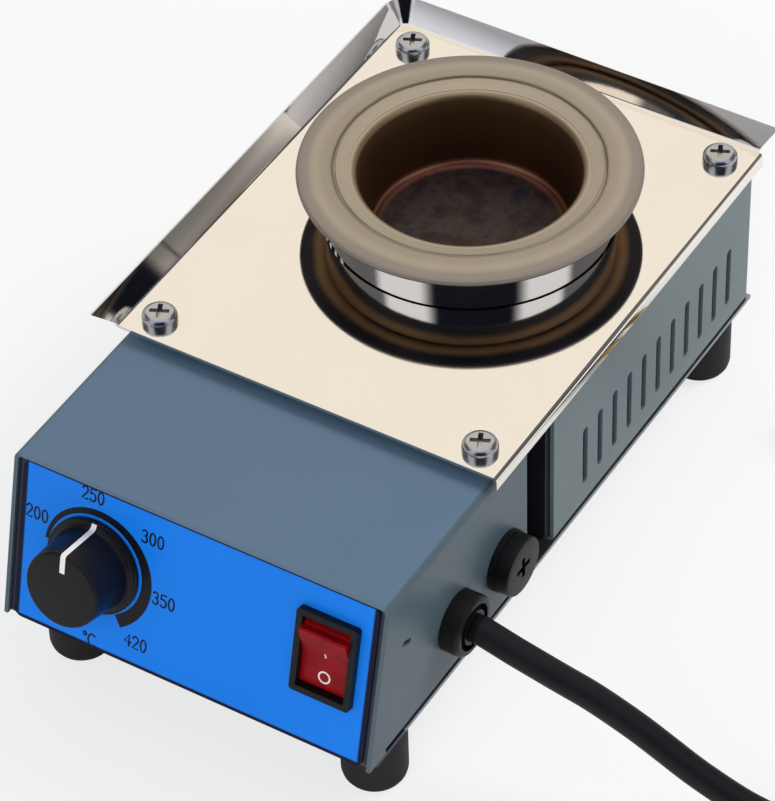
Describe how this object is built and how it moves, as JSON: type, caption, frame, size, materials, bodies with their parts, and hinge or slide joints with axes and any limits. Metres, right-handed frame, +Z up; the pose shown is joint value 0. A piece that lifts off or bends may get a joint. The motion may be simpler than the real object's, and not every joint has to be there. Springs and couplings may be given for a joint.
{
  "type": "solder pot",
  "caption": "Benchtop solder pot: flanged round crucible over a mirror-steel plate on a vented case, with a sloping blue control panel, temperature knob, rocker switch and mains cord.",
  "frame": {"origin": "on the surface under the feet, below the middle of the appliance's outline without its cord", "axes": "+X to the operator's right (fuse and cord side), +Y from the control panel to the rear, +Z up"},
  "size_m": [0.2772, 0.1876, 0.0769],
  "materials": {
    "blue_grey_paint": "semi-gloss powder coat",
    "case_paint": "semi-gloss powder coat",
    "plated_steel": "zinc plated sheet",
    "printed_film": "printed blue polycarbonate film",
    "dark_steel": "matt black",
    "mirror_steel": "mirror-polished stainless",
    "jacket_steel": "polished stainless",
    "crucible_metal": "bead-blasted, heat-tinted",
    "cast_aluminium": "as cast",
    "mica": "mica and steel band",
    "ceramic_fibre": "matt",
    "screw_steel": "nickel plated",
    "probe_steel": "satin",
    "knob_plastic": "black phenolic",
    "pointer_white": "white inlay",
    "shaft_steel": "turned",
    "pot_body": "moulded",
    "black_nylon": "black nylon",
    "rocker_red": "translucent red",
    "brass_plated": "tinned brass",
    "fuse_glass": "glass tube with metal ends",
    "cord_pvc": "black PVC",
    "black_rubber": "moulded rubber",
    "board_green": "solder mask",
    "white_nylon": "nylon",
    "capacitor_film": "dipped film",
    "capacitor_sleeve": "sleeved",
    "chip_epoxy": "moulded epoxy",
    "sink_aluminium": "extruded"
  },
  "bodies": {
    "case": {"base_pan": "plated_steel", "panel_overlay": "printed_film", "control_cover": "blue_grey_paint", "control_rear_wall": "blue_grey_paint", "wire_grommet": "black_rubber", "heater_case": "case_paint", "heater_baffle": "dark_steel", "top_plate": "mirror_steel", "plate_spacers": "screw_steel", "plate_screws": "screw_steel", "plate_nuts": "screw_steel", "crucible": "crucible_metal", "heater_jacket": "jacket_steel", "heating_block": "cast_aluminium", "band_heater": "mica", "insulation_disc": "ceramic_fibre", "heater_tray": "plated_steel", "tray_standoffs": "screw_steel", "tray_screws": "screw_steel", "temperature_sensor": "probe_steel", "potentiometer": "pot_body", "potentiometer_nut": "screw_steel", "switch_housing": "black_nylon", "switch_terminals": "brass_plated", "fuse_holder": "black_nylon", "fuse_holder_nut": "black_nylon", "fuse_link": "fuse_glass", "cord_bushing": "black_nylon", "power_cord": "cord_pvc", "cord_coil": "cord_pvc", "cord_tail": "cord_pvc", "cord_tie": "cord_pvc", "plug_body": "cord_pvc", "plug_blades": "brass_plated", "control_board": "board_green", "board_spacers": "white_nylon", "board_screws": "screw_steel", "film_capacitor": "capacitor_film", "electrolytic_capacitors": "capacitor_sleeve", "triac": "chip_epoxy", "heat_sink": "sink_aluminium", "control_chip": "chip_epoxy", "terminal_block": "white_nylon", "rubber_feet": "black_rubber", "foot_screws": "screw_steel", "foot_nuts": "screw_steel", "case_screws": "screw_steel"},
    "knob": {"knob": "knob_plastic", "knob_pointer": "pointer_white", "potentiometer_shaft": "shaft_steel"},
    "rocker": {"switch_rocker": "rocker_red"},
    "fuse_cap": {"fuse_cap": "black_nylon"}
  },
  "joints": [
    {"name": "knob_turn", "type": "hinge", "parent": "case", "child": "knob", "pos_m": [-0.0253, -0.07911, 0.04051], "axis": [0, -0.9703, 0.2419], "range_deg": [-150, 150]},
    {"name": "rocker_tilt", "type": "hinge", "parent": "case", "child": "rocker", "pos_m": [0.0339, -0.07528, 0.04182], "axis": [1, 0, 0], "range_deg": [-24, 0]},
    {"name": "fuse_cap_turn", "type": "hinge", "parent": "case", "child": "fuse_cap", "pos_m": [0.0475, -0.02742, 0.0335], "axis": [1, 0, 0], "range_deg": [0, 90]}
  ]
}
